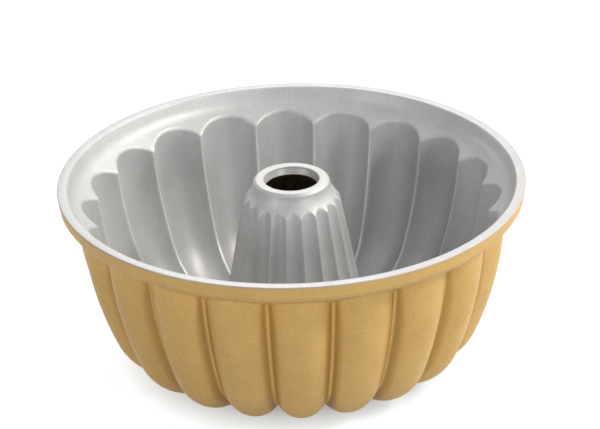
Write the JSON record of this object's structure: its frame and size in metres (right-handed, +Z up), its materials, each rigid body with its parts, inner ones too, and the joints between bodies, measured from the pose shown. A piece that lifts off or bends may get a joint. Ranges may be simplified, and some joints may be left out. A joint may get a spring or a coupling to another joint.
{
  "type": "fluted tube pan",
  "caption": "Round cake pan with a fluted wall, a plain flat rim and a fluted hollow centre tube, grey non-stick inside and satin gold outside.",
  "frame": {"origin": "centre of the pan at the level of its base, where it stands", "axes": "+Z up along the centre tube, +X along the middle of one flute"},
  "size_m": [0.26, 0.26, 0.1083],
  "materials": {
    "cast_aluminium": "machined bare metal at the mouth of the tube",
    "grey_nonstick": "satin grey non-stick with a fine metallic speckle",
    "gold_enamel": "satin gold with a fine metallic speckle"
  },
  "bodies": {
    "root": {"pan_casting": "cast_aluminium", "nonstick_lining": "grey_nonstick", "gold_outer_coat": "gold_enamel"}
  },
  "joints": []
}
